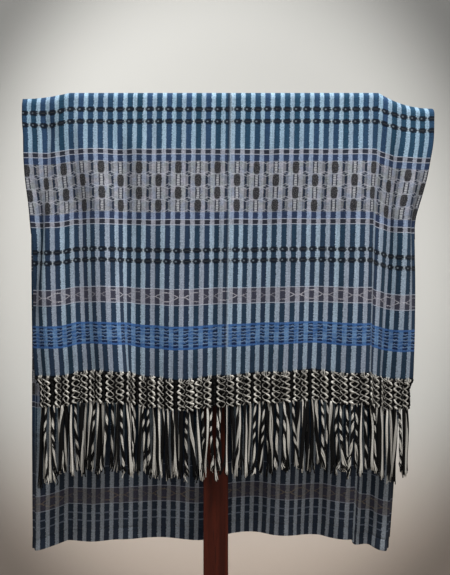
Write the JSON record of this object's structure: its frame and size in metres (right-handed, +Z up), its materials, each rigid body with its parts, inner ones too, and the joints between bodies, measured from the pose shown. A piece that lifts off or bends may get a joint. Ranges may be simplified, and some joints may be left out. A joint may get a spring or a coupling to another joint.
{
  "type": "rebozo shawl on a T-shaped wooden stand",
  "caption": "Long striped shawl with a knotted fringe, folded double and draped over the bar of a T-shaped wooden stand.",
  "frame": {"origin": "centre of the underside of the stand's base, under the post, on the floor", "axes": "+Z up along the post; -Y out of the front, where the knotted fringe shows; +X to the right as seen from the front"},
  "size_m": [0.7164, 0.4, 1.3536],
  "materials": {
    "striped_cloth": "matte",
    "fringe_yarn": "matte",
    "stained_wood": "satin"
  },
  "bodies": {
    "root": {"front_panel": "striped_cloth", "over_bar": "striped_cloth", "back_panel": "striped_cloth", "hidden_end": "striped_cloth", "front_fringe": "fringe_yarn", "hidden_fringe": "fringe_yarn", "stand_bar": "stained_wood", "stand_post": "stained_wood", "stand_base": "stained_wood"}
  },
  "joints": []
}
